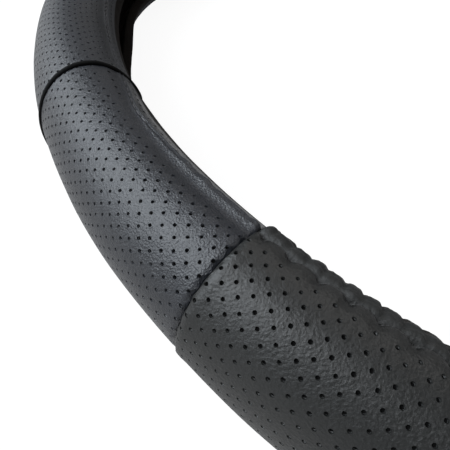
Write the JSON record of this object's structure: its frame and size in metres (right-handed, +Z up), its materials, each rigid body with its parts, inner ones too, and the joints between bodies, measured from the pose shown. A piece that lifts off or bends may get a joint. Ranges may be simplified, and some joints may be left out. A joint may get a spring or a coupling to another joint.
{
  "type": "steering wheel cover",
  "caption": "Black slip-on steering wheel cover of perforated leather with smooth and grained panels, piped seams and a rubber inner ring.",
  "frame": {"origin": "the ring's centre, on the surface that the cover lies flat on", "axes": "+Z up along the ring's axis, towards the driver; +Y towards the twelve o'clock side; +X towards the three o'clock side"},
  "size_m": [0.38, 0.3808, 0.0344],
  "materials": {
    "smooth_leather": "smooth perforated leather, satin",
    "grained_leather": "fine grained perforated leather, near matt",
    "piping": "smooth black piping, satin",
    "inner_rubber": "moulded rubber, matt"
  },
  "bodies": {
    "root": {"inner_ring": "inner_rubber", "smooth_grip_left": "smooth_leather", "smooth_grip_right": "smooth_leather", "grained_grip_top": "grained_leather", "grained_grip_bottom": "grained_leather", "insert_upper_left": "smooth_leather", "insert_upper_right": "smooth_leather", "insert_lower_left": "smooth_leather", "insert_lower_right": "smooth_leather", "piping_upper_left": "piping", "piping_upper_right": "piping", "piping_lower_left": "piping", "piping_lower_right": "piping"}
  },
  "joints": []
}
